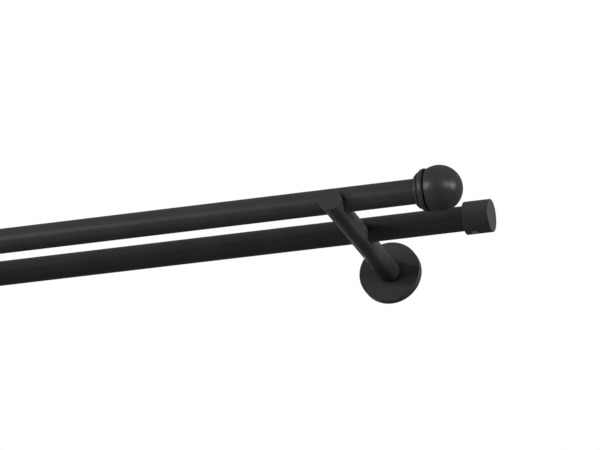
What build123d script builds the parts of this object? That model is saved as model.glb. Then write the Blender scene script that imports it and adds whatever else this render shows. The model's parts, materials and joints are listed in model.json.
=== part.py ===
from build123d import *
import os

os.makedirs("parts", exist_ok=True)

# A double curtain pole on two wall brackets. Millimetres.
# X runs along the poles, Y = 0 is the wall with the room at -Y, and Z = 0 is the axis of the arms.

# Poles
pole_diameter = 20.0
pole_wall = 1.2
pole_edge = 0.3
front_pole_length = 1200.0
rear_pole_overhang = 32.75
front_pole_distance = 151.5
rear_pole_distance = 85.5
pole_rise = 5.2

# Bracket arms
bracket_inset = 73.0
arm_diameter = 17.8
arm_edge = 0.4
front_lip = 6.3
saddle_clearance = 0.4
saddle_edge = 0.3

# Wall flange, under the rosette
flange_thickness = 4.0
wall_screw_spacing = 32.0
wall_screw_hole = 4.5
wall_screw_sink = 9.0

# Rosette, the round cover that slides along the arm to the wall
rosette_diameter = 50.6
rosette_depth = 7.0
rosette_wall = 1.5
rosette_edge = 0.5
rosette_fit = 0.1
rosette_bore_clearance = 0.15

# Countersunk screw that holds the arm on its flange
arm_screw_diameter = 6.0
arm_screw_length = 18.0
arm_screw_head = 12.0
arm_screw_recess = 0.2
arm_screw_hex = 4.0
arm_screw_hex_depth = 2.4
arm_hole_spare = 2.0

# Finial ball
ball_diameter = 37.0
ball_cut = 8.7
neck_diameter = 28.0
neck_length = 1.2
ball_hole_depth = 13.0

# Finial collar, a turned ring with two stepped beads, a shadow line and a quarter round
collar_entry_radius = 11.7
first_bead_length = 1.2
first_bead_radius = 12.8
second_bead_length = 1.7
second_bead_start = 13.05
second_bead_radius = 14.3
bead_bulge = 0.2
shadow_line_width = 0.9
shadow_line_radius = 13.4
round_length = 4.2
round_start = 14.9
round_radius = 17.0
round_flat = 0.7
collar_floor = 1.2

# Stud and moulded plug that hold a finial in the front pole
stud_diameter = 6.0
stud_clearance = 0.05
stud_hole_clearance = 0.2
stud_spare = 1.0
stud_edge = 0.5
plug_length = 20.0
plug_rib_count = 6
plug_rib_width = 1.8
plug_hub_diameter = 11.0
plug_disc = 1.6
plug_inset = 0.4
plug_fit = 0.05

# End cap of the rear pole, and the grub screw under it
cap_diameter = 26.4
cap_length = 21.5
cap_end_wall = 2.3
cap_edge = 0.3
cap_screw_diameter = 5.0
cap_screw_place = 7.3
cap_screw_recess = 0.15
cap_screw_hex = 2.5
cap_screw_hex_depth = 1.4
cap_screw_edge = 0.3

# Clearances shared by the fits on the poles and by the plain stand-ins for threads
pole_fit = 0.1
seat_gap = 0.1
thread_clearance = 0.05

# Sizes worked out from the ones above
rear_pole_length = front_pole_length + 2 * rear_pole_overhang
bracket_spacing = front_pole_length - 2 * bracket_inset
pole_radius = pole_diameter / 2
pole_bore_radius = pole_radius - pole_wall
socket_radius = pole_radius + pole_fit
saddle_radius = pole_radius + saddle_clearance
saddle_rise = pole_rise + saddle_clearance - seat_gap
arm_radius = arm_diameter / 2
arm_reach = front_pole_distance + saddle_radius + front_lip
arm_length = arm_reach - flange_thickness
flange_radius = rosette_diameter / 2 - rosette_wall - rosette_fit
ball_radius = ball_diameter / 2
neck_start = -ball_cut - neck_length
collar_length = (
    first_bead_length + second_bead_length + shadow_line_width + round_length + round_flat
)
collar_seat = collar_length - collar_floor
ball_centre = collar_length - neck_start
bracket_places = {"left": -bracket_spacing / 2, "right": bracket_spacing / 2}


def turned(outline):
    """A solid turned round the X axis, from points or edges that give place along X and radius."""
    edges = outline if isinstance(outline[0], Edge) else Polyline(*outline, close=True).edges()
    return revolve(make_face(edges), Axis.X)


def rod(radius, start, end):
    """A plain round rod along X from start to end."""
    return Pos(start, 0, 0) * extrude(Plane.YZ * Circle(radius), end - start)


def hexagon_key(across_flats, start, end):
    """A six-sided socket along X from start to end."""
    outline = Plane.YZ * RegularPolygon(across_flats / 2, 6, major_radius=False)
    return Pos(start, 0, 0) * extrude(outline, end - start)


def pole(length):
    """A round tube along X, centred, with its outer end edges broken."""
    half = length / 2
    return turned(
        [
            (-half, pole_bore_radius),
            (half, pole_bore_radius),
            (half, pole_radius - pole_edge),
            (half - pole_edge, pole_radius),
            (-half + pole_edge, pole_radius),
            (-half, pole_radius - pole_edge),
        ]
    )


def saddle(distance):
    """The space cut for one pole: half round under the pole and open above it."""
    reach = arm_diameter
    seat = extrude(Plane.YZ * Circle(saddle_radius), reach, both=True)
    mouth = Pos(0, 0, arm_radius) * Box(2 * reach, 2 * saddle_radius, 2 * arm_radius)
    return Pos(0, -distance, saddle_rise) * (seat + mouth)


def bracket_arm():
    """A round bar from the flange into the room, with a saddle for each pole and a screw hole at its root."""
    bar = Plane.XZ * Pos(0, 0, flange_thickness) * Cylinder(
        arm_radius, arm_length, align=(Align.CENTER, Align.CENTER, Align.MIN)
    )
    bar = fillet(bar.faces().sort_by(Axis.Y)[0].edges(), arm_edge)
    for distance in (front_pole_distance, rear_pole_distance):
        space = saddle(distance)
        bar -= space
        near = space.bounding_box()
        rim = bar.edges().filter_by_position(Axis.Y, near.min.Y - saddle_edge, near.max.Y + saddle_edge)
        bar = chamfer(rim.filter_by(lambda edge: edge.geom_type != GeomType.LINE), saddle_edge)
    hole_depth = arm_screw_length - flange_thickness + arm_hole_spare
    hole = Plane.XZ * Pos(0, 0, flange_thickness) * Cylinder(
        arm_screw_diameter / 2 + thread_clearance,
        hole_depth,
        align=(Align.CENTER, Align.CENTER, Align.MIN),
    )
    return bar - hole


def into_room(shape):
    """Turns a shape made along +X so that it points from the wall into the room."""
    return Rot(0, 0, -90) * shape


def sink_depth(head, hole):
    """How deep a right-angled countersink goes."""
    return (head - hole) / 2


def wall_flange():
    """A steel disc with two countersunk holes for the wall screws and one for the arm's screw."""
    disc = into_room(rod(flange_radius, 0, flange_thickness))
    hole_radius = wall_screw_hole / 2
    depth = sink_depth(wall_screw_sink, wall_screw_hole)
    wall_hole = turned(
        [
            (0, 0),
            (flange_thickness, 0),
            (flange_thickness, wall_screw_sink / 2),
            (flange_thickness - depth, hole_radius),
            (0, hole_radius),
        ]
    )
    for side in (-1, 1):
        disc -= Pos(0, 0, side * wall_screw_spacing / 2) * into_room(wall_hole)
    shank_radius = arm_screw_diameter / 2 + 2 * thread_clearance
    head_radius = arm_screw_head / 2 + 2 * thread_clearance
    arm_hole = turned(
        [
            (0, 0),
            (0, head_radius),
            (arm_screw_recess, head_radius),
            (arm_screw_recess + head_radius - shank_radius, shank_radius),
            (flange_thickness, shank_radius),
            (flange_thickness, 0),
        ]
    )
    return disc - into_room(arm_hole)


def rosette():
    """A turned cup that hides the flange, with a hole in its face for the arm."""
    outer = rosette_diameter / 2
    inner = outer - rosette_wall
    cup = into_room(rod(outer, 0, rosette_depth))
    cup = fillet(cup.faces().sort_by(Axis.Y)[0].edges(), rosette_edge)
    cup -= into_room(rod(inner, 0, rosette_depth - rosette_wall))
    return cup - into_room(rod(arm_radius + rosette_bore_clearance, 0, rosette_depth))


def arm_screw():
    """A countersunk socket screw from the back of the flange into the arm."""
    shank = arm_screw_diameter / 2
    head = arm_screw_head / 2
    tip = arm_screw_length
    screw = turned(
        [
            (arm_screw_recess, 0),
            (arm_screw_recess, head),
            (arm_screw_recess + head - shank, shank),
            (tip - stud_edge, shank),
            (tip, shank - stud_edge),
            (tip, 0),
        ]
    )
    key = hexagon_key(arm_screw_hex, 0, arm_screw_recess + arm_screw_hex_depth)
    return into_room(screw - key)


def finial_collar():
    """The turned ring between pole and ball. X = 0 is its open edge, where the pole goes in."""
    first_end = first_bead_length
    second_end = first_end + second_bead_length
    round_begin = second_end + shadow_line_width
    crest = round_begin + round_length
    edges = [
        Line((0, collar_entry_radius), (0, socket_radius)),
        Line((0, socket_radius), (collar_seat, socket_radius)),
        Line((collar_seat, socket_radius), (collar_seat, 0)),
        Line((collar_seat, 0), (collar_length, 0)),
        Line((collar_length, 0), (collar_length, round_radius)),
        Line((collar_length, round_radius), (crest, round_radius)),
        TangentArc((crest, round_radius), (round_begin, round_start), tangent=(-1, 0)),
        Line((round_begin, round_start), (round_begin, shadow_line_radius)),
        Line((round_begin, shadow_line_radius), (second_end, shadow_line_radius)),
        Line((second_end, shadow_line_radius), (second_end, second_bead_radius)),
        SagittaArc((second_end, second_bead_radius), (first_end, second_bead_start), -bead_bulge),
        Line((first_end, second_bead_start), (first_end, first_bead_radius)),
        SagittaArc((first_end, first_bead_radius), (0, collar_entry_radius), -bead_bulge),
    ]
    hole = rod(stud_diameter / 2 + stud_hole_clearance, 0, collar_length)
    return turned(edges) - hole


def finial_ball():
    """A turned ball with a short neck and a hole for the stud. X = 0 is the centre of the ball."""
    cut_radius = (ball_radius**2 - ball_cut**2) ** 0.5
    edges = [
        Line((neck_start, 0), (neck_start, neck_diameter / 2)),
        Line((neck_start, neck_diameter / 2), (-ball_cut, neck_diameter / 2)),
        Line((-ball_cut, neck_diameter / 2), (-ball_cut, cut_radius)),
        ThreePointArc((-ball_cut, cut_radius), (0, ball_radius), (ball_radius, 0)),
        Line((ball_radius, 0), (neck_start, 0)),
    ]
    hole = rod(stud_diameter / 2 + stud_clearance, neck_start, neck_start + ball_hole_depth)
    return turned(edges) - hole


def finial_stud():
    """The threaded stud, drawn plain. X = 0 is the collar's open edge."""
    start = collar_seat - plug_inset - plug_length
    end = collar_length + ball_hole_depth - stud_spare
    radius = stud_diameter / 2
    return turned(
        [
            (start, 0),
            (start, radius - stud_edge),
            (start + stud_edge, radius),
            (end - stud_edge, radius),
            (end, radius - stud_edge),
            (end, 0),
        ]
    )


def pole_plug():
    """The ribbed plug pressed into the front pole. X = 0 is the pole's end, with the plug at -X."""
    outer = pole_bore_radius - plug_fit
    start = -plug_inset - plug_length
    body = rod(plug_hub_diameter / 2, start, -plug_inset)
    body += rod(outer, -plug_inset - plug_disc, -plug_inset)
    blank = rod(outer, start, -plug_inset)
    rib = Pos(start, 0, outer / 2) * Box(
        plug_length, plug_rib_width, outer, align=(Align.MIN, Align.CENTER, Align.CENTER)
    )
    for index in range(plug_rib_count):
        body += blank & (Rot(index * 360 / plug_rib_count, 0, 0) * rib)
    return body - rod(stud_diameter / 2 + stud_clearance, start, -plug_inset)


def end_cap():
    """A cup that closes the rear pole. X = 0 is its open edge."""
    outer = cap_diameter / 2
    floor = cap_length - cap_end_wall
    cap = turned(
        [
            (0, socket_radius),
            (floor, socket_radius),
            (floor, 0),
            (cap_length, 0),
            (cap_length, outer - cap_edge),
            (cap_length - cap_edge, outer),
            (cap_edge, outer),
            (0, outer - cap_edge),
        ]
    )
    hole = Pos(cap_screw_place, 0, 0) * Cylinder(
        cap_screw_diameter / 2 + thread_clearance,
        cap_diameter,
        align=(Align.CENTER, Align.CENTER, Align.MAX),
    )
    return cap - hole


def end_cap_screw():
    """A socket grub screw that points up from under the cap. X = 0 is the cap's open edge."""
    radius = cap_screw_diameter / 2
    face = cap_diameter / 2 - cap_screw_recess
    point = pole_radius + thread_clearance
    screw = turned(
        [
            (point, 0),
            (point, radius - cap_screw_edge),
            (point + cap_screw_edge, radius),
            (face - cap_screw_edge, radius),
            (face, radius - cap_screw_edge),
            (face, 0),
        ]
    )
    screw -= hexagon_key(cap_screw_hex, face - cap_screw_hex_depth, face)
    return Pos(cap_screw_place, 0, 0) * Rot(0, 90, 0) * screw


def at_front_end(shape):
    """Moves a piece measured from the right-hand end of the front pole to that end."""
    return Pos(front_pole_length / 2, -front_pole_distance, pole_rise) * shape


def at_rear_end(shape):
    """Moves a piece measured from the right-hand end of the rear pole to that end."""
    return Pos(rear_pole_length / 2, -rear_pole_distance, pole_rise) * shape


collar_place = Pos(seat_gap - collar_seat, 0, 0)
cap_place = Pos(seat_gap + cap_end_wall - cap_length, 0, 0)
end_pieces = {
    "finial_collar": at_front_end(collar_place * finial_collar()),
    "finial_ball": at_front_end(collar_place * Pos(ball_centre, 0, 0) * finial_ball()),
    "finial_stud": at_front_end(collar_place * finial_stud()),
    "pole_plug": at_front_end(pole_plug()),
    "end_cap": at_rear_end(cap_place * end_cap()),
    "end_cap_screw": at_rear_end(cap_place * end_cap_screw()),
}
bracket_pieces = {
    "arm": bracket_arm(),
    "wall_flange": wall_flange(),
    "rosette": rosette(),
    "arm_screw": arm_screw(),
}

nodes = {
    "front_pole": Pos(0, -front_pole_distance, pole_rise) * pole(front_pole_length),
    "rear_pole": Pos(0, -rear_pole_distance, pole_rise) * pole(rear_pole_length),
}
for name, piece in end_pieces.items():
    nodes[f"right_{name}"] = piece
    nodes[f"left_{name}"] = mirror(piece, about=Plane.YZ)
for side, place in bracket_places.items():
    for name, piece in bracket_pieces.items():
        nodes[f"{side}_{name}"] = Pos(place, 0, 0) * piece

for name, solid in nodes.items():
    export_step(solid, f"parts/{name}.step")
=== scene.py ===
import json
import math

import bmesh
import bpy
from mathutils import Matrix, Vector


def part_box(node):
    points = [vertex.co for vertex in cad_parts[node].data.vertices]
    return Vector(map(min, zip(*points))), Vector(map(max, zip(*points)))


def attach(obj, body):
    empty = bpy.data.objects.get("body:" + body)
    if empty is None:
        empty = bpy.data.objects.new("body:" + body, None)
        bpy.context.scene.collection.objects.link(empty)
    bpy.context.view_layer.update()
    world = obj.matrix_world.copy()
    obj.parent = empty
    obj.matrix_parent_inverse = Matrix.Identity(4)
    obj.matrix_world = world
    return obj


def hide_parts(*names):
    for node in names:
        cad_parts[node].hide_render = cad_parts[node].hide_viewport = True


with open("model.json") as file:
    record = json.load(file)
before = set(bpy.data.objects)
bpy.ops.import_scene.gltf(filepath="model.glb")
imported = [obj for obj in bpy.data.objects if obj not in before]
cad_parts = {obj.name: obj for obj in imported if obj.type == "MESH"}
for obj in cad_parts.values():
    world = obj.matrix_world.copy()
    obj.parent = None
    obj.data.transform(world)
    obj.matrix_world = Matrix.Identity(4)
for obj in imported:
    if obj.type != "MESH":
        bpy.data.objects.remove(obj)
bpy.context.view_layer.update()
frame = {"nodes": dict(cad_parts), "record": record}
nodes = frame["nodes"]
slot_of_node = {part["node"]: part["material_slot"] for part in frame["record"]["subparts"]}

# Camera, fitted to the outlines in a picture 600 pixels wide
picture_width = 600
sensor_width = 36.0
camera_azimuth = 17.69
camera_elevation = -21.95
camera_distance = 4.1246
camera_reach = 200.0
pixels_per_metre = 1225.0
camera_aim = Vector((0.4492, 0.0, 0.0526))

# Black powder coat. Its shine is a clear skin over the paint.
# The caps and rosettes are painted paler, painted light for the light they catch; rubbed edges
# are paler and smoother, which is wear and also a painted highlight along the rims.
coat_colour = Vector((0.030, 0.030, 0.031))
rosette_painted_lightness = 1.2
cap_painted_lightness = 1.4
edge_wear_and_highlight_paleness = 1.67
edge_smoothness = 0.06
coat_shine = 0.14
coat_roughness = 0.33
coat_roughness_drift = 0.03

# Patterns in the coat, in bumps per metre, and how far clouds and specks vary its colour
coat_cloud = 28.0
coat_gloss_cloud = 170.0
coat_rub = 420.0
coat_peel = 900.0
coat_speck = 2600.0
cloud_tone = (0.90, 1.10)
speck_tone = (0.93, 1.07)
rub_patches = (0.1, 1.0)

# Strength and depth in metres of the orange peel and of the specks on it,
# and the strength of the skin on the other finishes
peel_bump = (0.35, 0.00002)
speck_bump = (0.3, 0.000006)
skin_strength = 0.4

# An edge is rubbed within this reach in metres, fully where the cosine between its rounded
# and its own normal is the first value, and not at all from the second on
edge_reach = 0.0006
edge_samples = 6
edge_cosines = (0.80, 0.985)

# Painted shade: corners against a neighbour are darker by this share, less on the arms, within
# this reach in metres, fully where the open share is the first value, and not at all from the
# second on
painted_corner_shade = 0.9
arm_painted_corner_shade = 0.35
corner_reach = 0.014
corner_samples = 8
corner_open = (0.42, 0.78)

# The arm's round is cut across this often, and a corner this near to it is on it, in metres.
# Its faces carry the mark in their material index while they are cut.
round_step = 0.003
round_margin = 0.00002
round_mark = 1
cut_margin = 1e-6
merge_distance = 1e-7

# Floor of the room: its own colours, and what is added to them for the eye and reflections
floor_height = -2.2
floor_size = 60.0
floor_mottle = 3.0
floor_colours = ((0.29, 0.29, 0.285, 1.0), (0.33, 0.33, 0.325, 1.0))
floor_roughness = 0.9
floor_glow_colour = (1.0, 1.0, 0.99, 1.0)
floor_glow = 0.45

# Light of the room: what the eye and reflections see, and what falls on the paint
room_white = (1.0, 1.0, 1.0, 1.0)
seen_strength = 1.0
fill_strength = 0.12

# Softboxes that face the right-hand bracket from this distance:
# azimuth, elevation, width, height, strength, 1 being white
lamp_aim = Vector((0.56, -0.09, 0.0))
lamp_distance = 2.6
paint_lamps = {
    "left_key": (-58.0, 15.0, 0.45, 0.45, 76.0),
    "front_left": (-24.0, 0.0, 1.00, 0.60, 18.0),
    "front_key": (17.0, 4.0, 0.60, 0.35, 14.0),
    "front_right": (50.0, 8.0, 0.90, 0.60, 5.5),
    "right_key": (88.0, 16.0, 0.80, 0.60, 46.0),
    "top": (0.0, 50.0, 1.20, 1.20, 0.6),
    "back_right": (150.0, 25.0, 1.20, 1.20, 3.0),
    "back_left": (-150.0, 25.0, 1.20, 1.20, 5.0),
}
shine_lamps = {
    "left_shine": (-50.0, 5.0, 1.30, 1.10, 28.0),
    "left_front_shine": (-28.0, 2.0, 0.60, 0.60, 10.5),
    "right_shine": (82.0, 4.0, 1.10, 0.90, 44.0),
    "front_shine": (50.0, 1.0, 1.70, 0.70, 29.0),
    "right_flank_shine": (158.0, 14.0, 2.00, 2.00, 0.1),
    "left_flank_shine": (-140.0, 5.0, 2.00, 2.00, 0.1),
}
arm_lamps = {
    "right_arm_shine": (160.0, 16.0, 2.00, 2.00, 1.3),
    "right_arm_low_shine": (148.0, -18.0, 1.60, 1.20, 1.6),
    "left_arm_shine": (-142.0, 5.0, 2.00, 2.00, 1.2),
}


def towards(azimuth, elevation):
    """The way from the pole to a viewer at these degrees, 0 and 0 being straight in front."""
    a, e = math.radians(azimuth), math.radians(elevation)
    return Vector((math.sin(a) * math.cos(e), -math.cos(a) * math.cos(e), math.sin(e)))


def new_material(name):
    """A node material, its tree, its shader, and the place on a piece for its patterns."""
    material = bpy.data.materials.new(name)
    material.use_nodes = True
    tree = material.node_tree
    place = add(tree, "ShaderNodeTexCoord").outputs["Object"]
    return material, tree, tree.nodes["Principled BSDF"], place


def add(tree, kind, settings=(), values=()):
    """Adds one node, with its settings and the values of its input sockets."""
    node = tree.nodes.new(kind)
    for key, value in dict(settings).items():
        setattr(node, key, value)
    for key, value in dict(values).items():
        node.inputs[key].default_value = value
    return node


def join(tree, source, target):
    tree.links.new(source, target)


def calculate(tree, operation, *sources):
    """The result of a Math node whose first inputs are these outputs or numbers."""
    node = add(tree, "ShaderNodeMath", {"operation": operation})
    for socket, source in zip(node.inputs, sources):
        if isinstance(source, float):
            socket.default_value = source
        else:
            join(tree, source, socket)
    return node.outputs[0]


def noise(tree, place, scale, detail=2.0, roughness=0.5):
    """Solid noise at so many bumps per metre."""
    values = {"Scale": scale, "Detail": detail, "Roughness": roughness}
    node = add(tree, "ShaderNodeTexNoise", values=values)
    join(tree, place, node.inputs["Vector"])
    return node.outputs["Fac"]


def spread(tree, source, low, high, from_low=0.3, from_high=0.7):
    """Maps a value to a range. A noise lies mostly between 0.3 and 0.7."""
    values = {"From Min": from_low, "From Max": from_high, "To Min": low, "To Max": high}
    node = add(tree, "ShaderNodeMapRange", values=values)
    join(tree, source, node.inputs["Value"])
    return node.outputs["Result"]


def bumps(tree, height, strength, depth, under=None):
    """A bumpy normal, on top of another one if that is given."""
    node = add(tree, "ShaderNodeBump", values={"Strength": strength, "Distance": depth})
    join(tree, height, node.inputs["Height"])
    if under:
        join(tree, under, node.inputs["Normal"])
    return node.outputs["Normal"]


def for_eye_and_shine(tree):
    """1 for camera, glossy and transmission rays, 0 for the rays that light the paint."""
    path = add(tree, "ShaderNodeLightPath").outputs
    either = calculate(tree, "MAXIMUM", path["Is Camera Ray"], path["Is Glossy Ray"])
    return calculate(tree, "MAXIMUM", either, path["Is Transmission Ray"])


def rubbed_and_highlit_edges(tree, place):
    """1 on a sharp outer edge, in uneven patches, and 0 away from it: wear, whose paler colour is
    also a painted highlight.
    """
    soft = add(tree, "ShaderNodeBevel", {"samples": edge_samples}, {"Radius": edge_reach})
    turn = add(tree, "ShaderNodeVectorMath", {"operation": "DOT_PRODUCT"})
    join(tree, soft.outputs["Normal"], turn.inputs[0])
    join(tree, add(tree, "ShaderNodeNewGeometry").outputs["Normal"], turn.inputs[1])
    edge = spread(tree, turn.outputs["Value"], 1.0, 0.0, *edge_cosines)
    patches = spread(tree, noise(tree, place, coat_rub, detail=4.0), *rub_patches)
    return calculate(tree, "MULTIPLY", edge, patches)


def corners_in_painted_shade(tree, deepest_painted_shade):
    """Painted shade: 1 in the open, and less by the deepest shade in a corner against a
    neighbour.
    """
    settings, values = {"samples": corner_samples}, {"Distance": corner_reach}
    corner = add(tree, "ShaderNodeAmbientOcclusion", settings, values)
    return spread(tree, corner.outputs["AO"], 1.0 - deepest_painted_shade, 1.0, *corner_open)


def black_powder_coat(name, paint_colour, deepest_painted_shade):
    """Matt black powder coat: fine orange peel, specks, edges rubbed smoother and paler, which
    also paints a highlight on them, and painted shade in corners against a neighbour.
    """
    material, tree, shader, place = new_material(name)
    shader.inputs["Specular IOR Level"].default_value = 0.0
    shader.inputs["Coat Weight"].default_value = coat_shine
    shader.inputs["Coat Roughness"].default_value = coat_roughness

    speck = noise(tree, place, coat_speck)
    tone = spread(tree, noise(tree, place, coat_cloud, detail=3.0), *cloud_tone)
    mottle = calculate(tree, "MULTIPLY", tone, spread(tree, speck, *speck_tone))
    # Painted shade: the paint darkens in corners against a neighbour
    shade = calculate(tree, "MULTIPLY", mottle, corners_in_painted_shade(tree, deepest_painted_shade))
    paint = add(tree, "ShaderNodeVectorMath", {"operation": "SCALE"}, {0: paint_colour})
    join(tree, shade, paint.inputs["Scale"])

    wear_and_highlight = rubbed_and_highlit_edges(tree, place)
    # Paler rubbed edges: wear, and a painted highlight along the rims
    colour = add(tree, "ShaderNodeMix", {"data_type": "RGBA"})
    join(tree, wear_and_highlight, colour.inputs["Factor"])
    join(tree, paint.outputs["Vector"], colour.inputs["A"])
    colour.inputs["B"].default_value = (*(paint_colour * edge_wear_and_highlight_paleness), 1.0)
    join(tree, colour.outputs["Result"], shader.inputs["Base Color"])

    low, high = coat_roughness - coat_roughness_drift, coat_roughness + coat_roughness_drift
    gloss = spread(tree, noise(tree, place, coat_gloss_cloud, detail=3.0), low, high)
    smoother = calculate(tree, "MULTIPLY_ADD", wear_and_highlight, -edge_smoothness, gloss)
    join(tree, smoother, shader.inputs["Roughness"])

    peel = bumps(tree, noise(tree, place, coat_peel), *peel_bump)
    fine = bumps(tree, speck, *speck_bump, under=peel)
    join(tree, fine, shader.inputs["Normal"])
    join(tree, fine, shader.inputs["Coat Normal"])
    return material


def clouded_finish(name, metallic, cloud, colours, roughness, skin):
    """A finish whose colour and gloss drift in clouds, under a fine skin of bumps.

    cloud is the noise's scale, detail and roughness, colours are two places on the ramp and
    the colour at each, and skin is the scale and the depth of the bumps.
    """
    material, tree, shader, place = new_material(name)
    shader.inputs["Metallic"].default_value = metallic
    clouds = noise(tree, place, *cloud)
    ramp = add(tree, "ShaderNodeValToRGB")
    for element, (position, colour) in zip(ramp.color_ramp.elements, colours):
        element.position = position
        element.color = (*colour, 1.0)
    join(tree, clouds, ramp.inputs["Fac"])
    join(tree, ramp.outputs["Color"], shader.inputs["Base Color"])
    join(tree, spread(tree, clouds, *roughness), shader.inputs["Roughness"])
    scale, depth = skin
    surface = bumps(tree, noise(tree, place, scale), skin_strength, depth)
    join(tree, surface, shader.inputs["Normal"])
    return material


def zinc_plate():
    """Bright zinc on turned steel: fine cloudy crystals and a slightly uneven shine."""
    return clouded_finish(
        "zinc_plate",
        metallic=1.0,
        cloud=(220.0, 4.0, 0.6),
        colours=((0.30, (0.50, 0.51, 0.53)), (0.72, (0.68, 0.69, 0.70))),
        roughness=(0.26, 0.42),
        skin=(3200.0, 0.00001),
    )


def black_steel():
    """Oil-blackened screw steel, browner and paler where it is rubbed."""
    return clouded_finish(
        "black_steel",
        metallic=1.0,
        cloud=(500.0, 4.0, 0.6),
        colours=((0.35, (0.10, 0.10, 0.105)), (0.75, (0.20, 0.195, 0.19))),
        roughness=(0.30, 0.46),
        skin=(3800.0, 0.00001),
    )


def black_nylon():
    """Moulded black nylon with a faint flow and a fine skin."""
    return clouded_finish(
        "black_nylon",
        metallic=0.0,
        cloud=(150.0, 3.0),
        colours=((0.30, (0.026, 0.026, 0.027)), (0.70, (0.042, 0.042, 0.043))),
        roughness=(0.42, 0.55),
        skin=(1500.0, 0.00002),
    )


def pale_floor():
    """Pale matt floor with a faint mottle, clear from below so that the underside shows."""
    material, tree, shader, place = new_material("pale_floor")
    ramp = add(tree, "ShaderNodeValToRGB")
    for element, colour in zip(ramp.color_ramp.elements, floor_colours):
        element.color = colour
    join(tree, noise(tree, place, floor_mottle, detail=4.0), ramp.inputs["Fac"])
    join(tree, ramp.outputs["Color"], shader.inputs["Base Color"])
    shader.inputs["Roughness"].default_value = floor_roughness
    shader.inputs["Emission Color"].default_value = floor_glow_colour
    glow = calculate(tree, "MULTIPLY", for_eye_and_shine(tree), floor_glow)
    join(tree, glow, shader.inputs["Emission Strength"])

    sides = add(tree, "ShaderNodeMixShader")
    join(tree, add(tree, "ShaderNodeNewGeometry").outputs["Backfacing"], sides.inputs["Fac"])
    join(tree, shader.outputs["BSDF"], sides.inputs[1])
    join(tree, add(tree, "ShaderNodeBsdfTransparent").outputs["BSDF"], sides.inputs[2])
    join(tree, sides.outputs["Shader"], tree.nodes["Material Output"].inputs["Surface"])
    return material


def finish_nodes():
    """Gives each CAD node its slot's finish. The arms have a coat with less painted shade, and
    the rosettes and caps paler coats that are painted light.
    """
    # Paler copies of the coat on the rosettes and caps are painted light
    rosette_lit_colour = coat_colour * rosette_painted_lightness
    cap_lit_colour = coat_colour * cap_painted_lightness
    finishes = {
        # The arms' copy of the coat has less painted shade in its corners
        "black_coat": black_powder_coat("black_powder_coat", coat_colour, painted_corner_shade),
        "arm_coat_less_painted_shade": black_powder_coat("arm_powder_coat_less_painted_shade", coat_colour, arm_painted_corner_shade),
        "rosette_painted_light_coat": black_powder_coat("rosette_powder_coat_painted_light", rosette_lit_colour, painted_corner_shade),
        "cap_painted_light_coat": black_powder_coat("cap_powder_coat_painted_light", cap_lit_colour, painted_corner_shade),
        "zinc_plate": zinc_plate(),
        "black_steel": black_steel(),
        "black_nylon": black_nylon(),
    }
    finish_of_node = dict(slot_of_node)
    for side in ("left", "right"):
        finish_of_node[side + "_arm"] = "arm_coat_less_painted_shade"
        finish_of_node[side + "_rosette"] = "rosette_painted_light_coat"
        finish_of_node[side + "_end_cap"] = "cap_painted_light_coat"
    for name, node in nodes.items():
        node.data.materials.clear()
        node.data.materials.append(finishes[finish_of_node[name]])


def out_from_axis(place, axis_x):
    """The way out to a place from the arm's axis, which runs along Y."""
    return Vector((place.x - axis_x, 0.0, place.z))


def marked_faces(mesh):
    return [face for face in mesh.faces if face.material_index == round_mark]


def corners_of(faces):
    """The corners of these faces, each once and always in the same order."""
    return dict.fromkeys(corner for face in faces for corner in face.verts)


def cut_round(mesh, low, high, axis_x):
    """Marks the faces on the arm's round, cuts them across, and draws the cuts out to it."""
    radius = (high.x - low.x) / 2
    bmesh.ops.remove_doubles(mesh, verts=mesh.verts, dist=merge_distance)
    for face in mesh.faces:
        off = (abs(out_from_axis(corner.co, axis_x).length - radius) for corner in face.verts)
        face.material_index = round_mark if max(off) < round_margin else 0
    for i in range(1, math.floor((high.y - low.y) / round_step)):
        faces = marked_faces(mesh)
        edges = dict.fromkeys(edge for face in faces for edge in face.edges)
        bmesh.ops.bisect_plane(
            mesh,
            geom=[*corners_of(faces), *edges, *faces],
            dist=cut_margin,
            plane_co=(0.0, low.y + i * round_step, 0.0),
            plane_no=(0.0, 1.0, 0.0),
        )
    for corner in corners_of(marked_faces(mesh)):
        out = out_from_axis(corner.co, axis_x)
        corner.co += out.normalized() * (radius - out.length)
    bmesh.ops.triangulate(mesh, faces=mesh.faces)


def bracket_arm(side):
    """The arm, with its top between the poles true to the bar's round.

    The CAD mesh spans that top with long flats. Faces off the round keep the CAD's normals.
    """
    node = nodes[side + "_arm"]
    low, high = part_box(side + "_arm")
    axis_x = (low.x + high.x) / 2

    data = node.data.copy()
    data.name = side + "_bracket_arm"
    kept = data.attributes.new("kept_normal", "FLOAT_VECTOR", "CORNER")
    for value, normal in zip(kept.data, node.data.corner_normals):
        value.vector = normal.vector
    mesh = bmesh.new()
    mesh.from_mesh(data)
    cut_round(mesh, low, high, axis_x)
    mesh.to_mesh(data)
    mesh.free()

    kept = data.attributes["kept_normal"]
    normals = [value.vector.normalized() for value in kept.data]
    data.attributes.remove(kept)
    for face in data.polygons:
        if face.material_index == round_mark:
            for loop, corner in zip(face.loop_indices, face.vertices):
                out = out_from_axis(data.vertices[corner].co, axis_x)
                normals[loop] = out.normalized()
        face.material_index = 0
    data.normals_split_custom_set(normals)

    piece = bpy.data.objects.new(side + "_bracket_arm", data)
    bpy.context.scene.collection.objects.link(piece)
    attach(piece, "root")
    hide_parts(side + "_arm")
    return piece


def floor():
    """A wide pale floor far below the pole."""
    bpy.ops.mesh.primitive_plane_add(size=floor_size, location=(0.0, 0.0, floor_height))
    plane = bpy.context.object
    plane.name = "floor"
    plane.data.materials.append(pale_floor())


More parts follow.
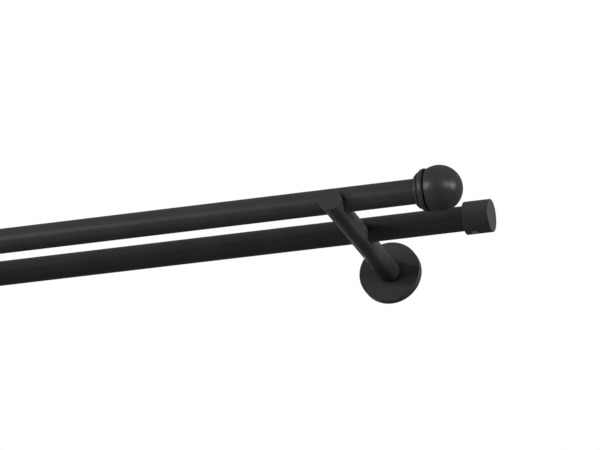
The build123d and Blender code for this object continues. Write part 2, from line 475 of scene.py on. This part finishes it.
def room_light():
    """White all round for the eye and for reflections, and a softer level for the paint."""
    world = bpy.data.worlds.new("studio")
    bpy.context.scene.world = world
    world.use_nodes = True
    tree = world.node_tree
    tree.nodes.clear()
    mix = add(tree, "ShaderNodeMixShader")
    join(tree, for_eye_and_shine(tree), mix.inputs["Fac"])
    for socket, strength in zip(mix.inputs[1:], (fill_strength, seen_strength)):
        values = {"Color": room_white, "Strength": strength}
        join(tree, add(tree, "ShaderNodeBackground", values=values).outputs[0], socket)
    join(tree, mix.outputs[0], add(tree, "ShaderNodeOutputWorld").inputs["Surface"])


def camera():
    """The camera, below the pole and to its right, level and with no shift."""
    back = towards(camera_azimuth, camera_elevation)
    right = towards(camera_azimuth + 90.0, 0.0)
    up = back.cross(right)
    data = bpy.data.cameras.new("camera")
    data.sensor_width = sensor_width
    data.lens = pixels_per_metre * camera_distance / picture_width * sensor_width
    data.clip_end = camera_reach
    eye = bpy.data.objects.new("camera", data)
    eye.rotation_mode = "QUATERNION"
    eye.rotation_quaternion = Matrix((right, up, back)).transposed().to_quaternion()
    eye.location = camera_aim + back * camera_distance
    bpy.context.scene.collection.objects.link(eye)
    bpy.context.scene.camera = eye


def lamp(name, azimuth, elevation, width, height, strength):
    """A soft oval lamp that faces the right-hand bracket."""
    back = towards(azimuth, elevation)
    data = bpy.data.lights.new(name, "AREA")
    data.shape = "ELLIPSE"
    data.size = width
    data.size_y = height
    data.energy = strength * math.pi * math.pi / 4 * width * height
    light = bpy.data.objects.new(name, data)
    light.location = lamp_aim + back * lamp_distance
    light.rotation_mode = "QUATERNION"
    light.rotation_quaternion = back.to_track_quat("Z", "Y")
    bpy.context.scene.collection.objects.link(light)
    return light


def lamps(arms, rosettes):
    """Lamps that light the paint, lamps that only shine, and lamps that shine on the arms alone.

    Only the rosettes shade the arms from the last kind.
    """
    for name, values in paint_lamps.items():
        lamp(name, *values).visible_glossy = False
    for name, values in shine_lamps.items():
        lamp(name, *values).visible_diffuse = False
    lit = bpy.data.collections.new("arms")
    shading = bpy.data.collections.new("rosettes")
    for arm, rosette in zip(arms, rosettes):
        lit.objects.link(arm)
        shading.objects.link(rosette)
    for name, values in arm_lamps.items():
        light = lamp(name, *values)
        light.visible_diffuse = False
        light.data.cycles.use_multiple_importance_sampling = False
        light.light_linking.receiver_collection = lit
        light.light_linking.blocker_collection = shading


finish_nodes()
floor()
room_light()
camera()
lamps(
    arms=[bracket_arm(side) for side in ("left", "right")],
    rosettes=[nodes[side + "_rosette"] for side in ("left", "right")],
)
bpy.context.scene.view_settings.view_transform = "Standard"
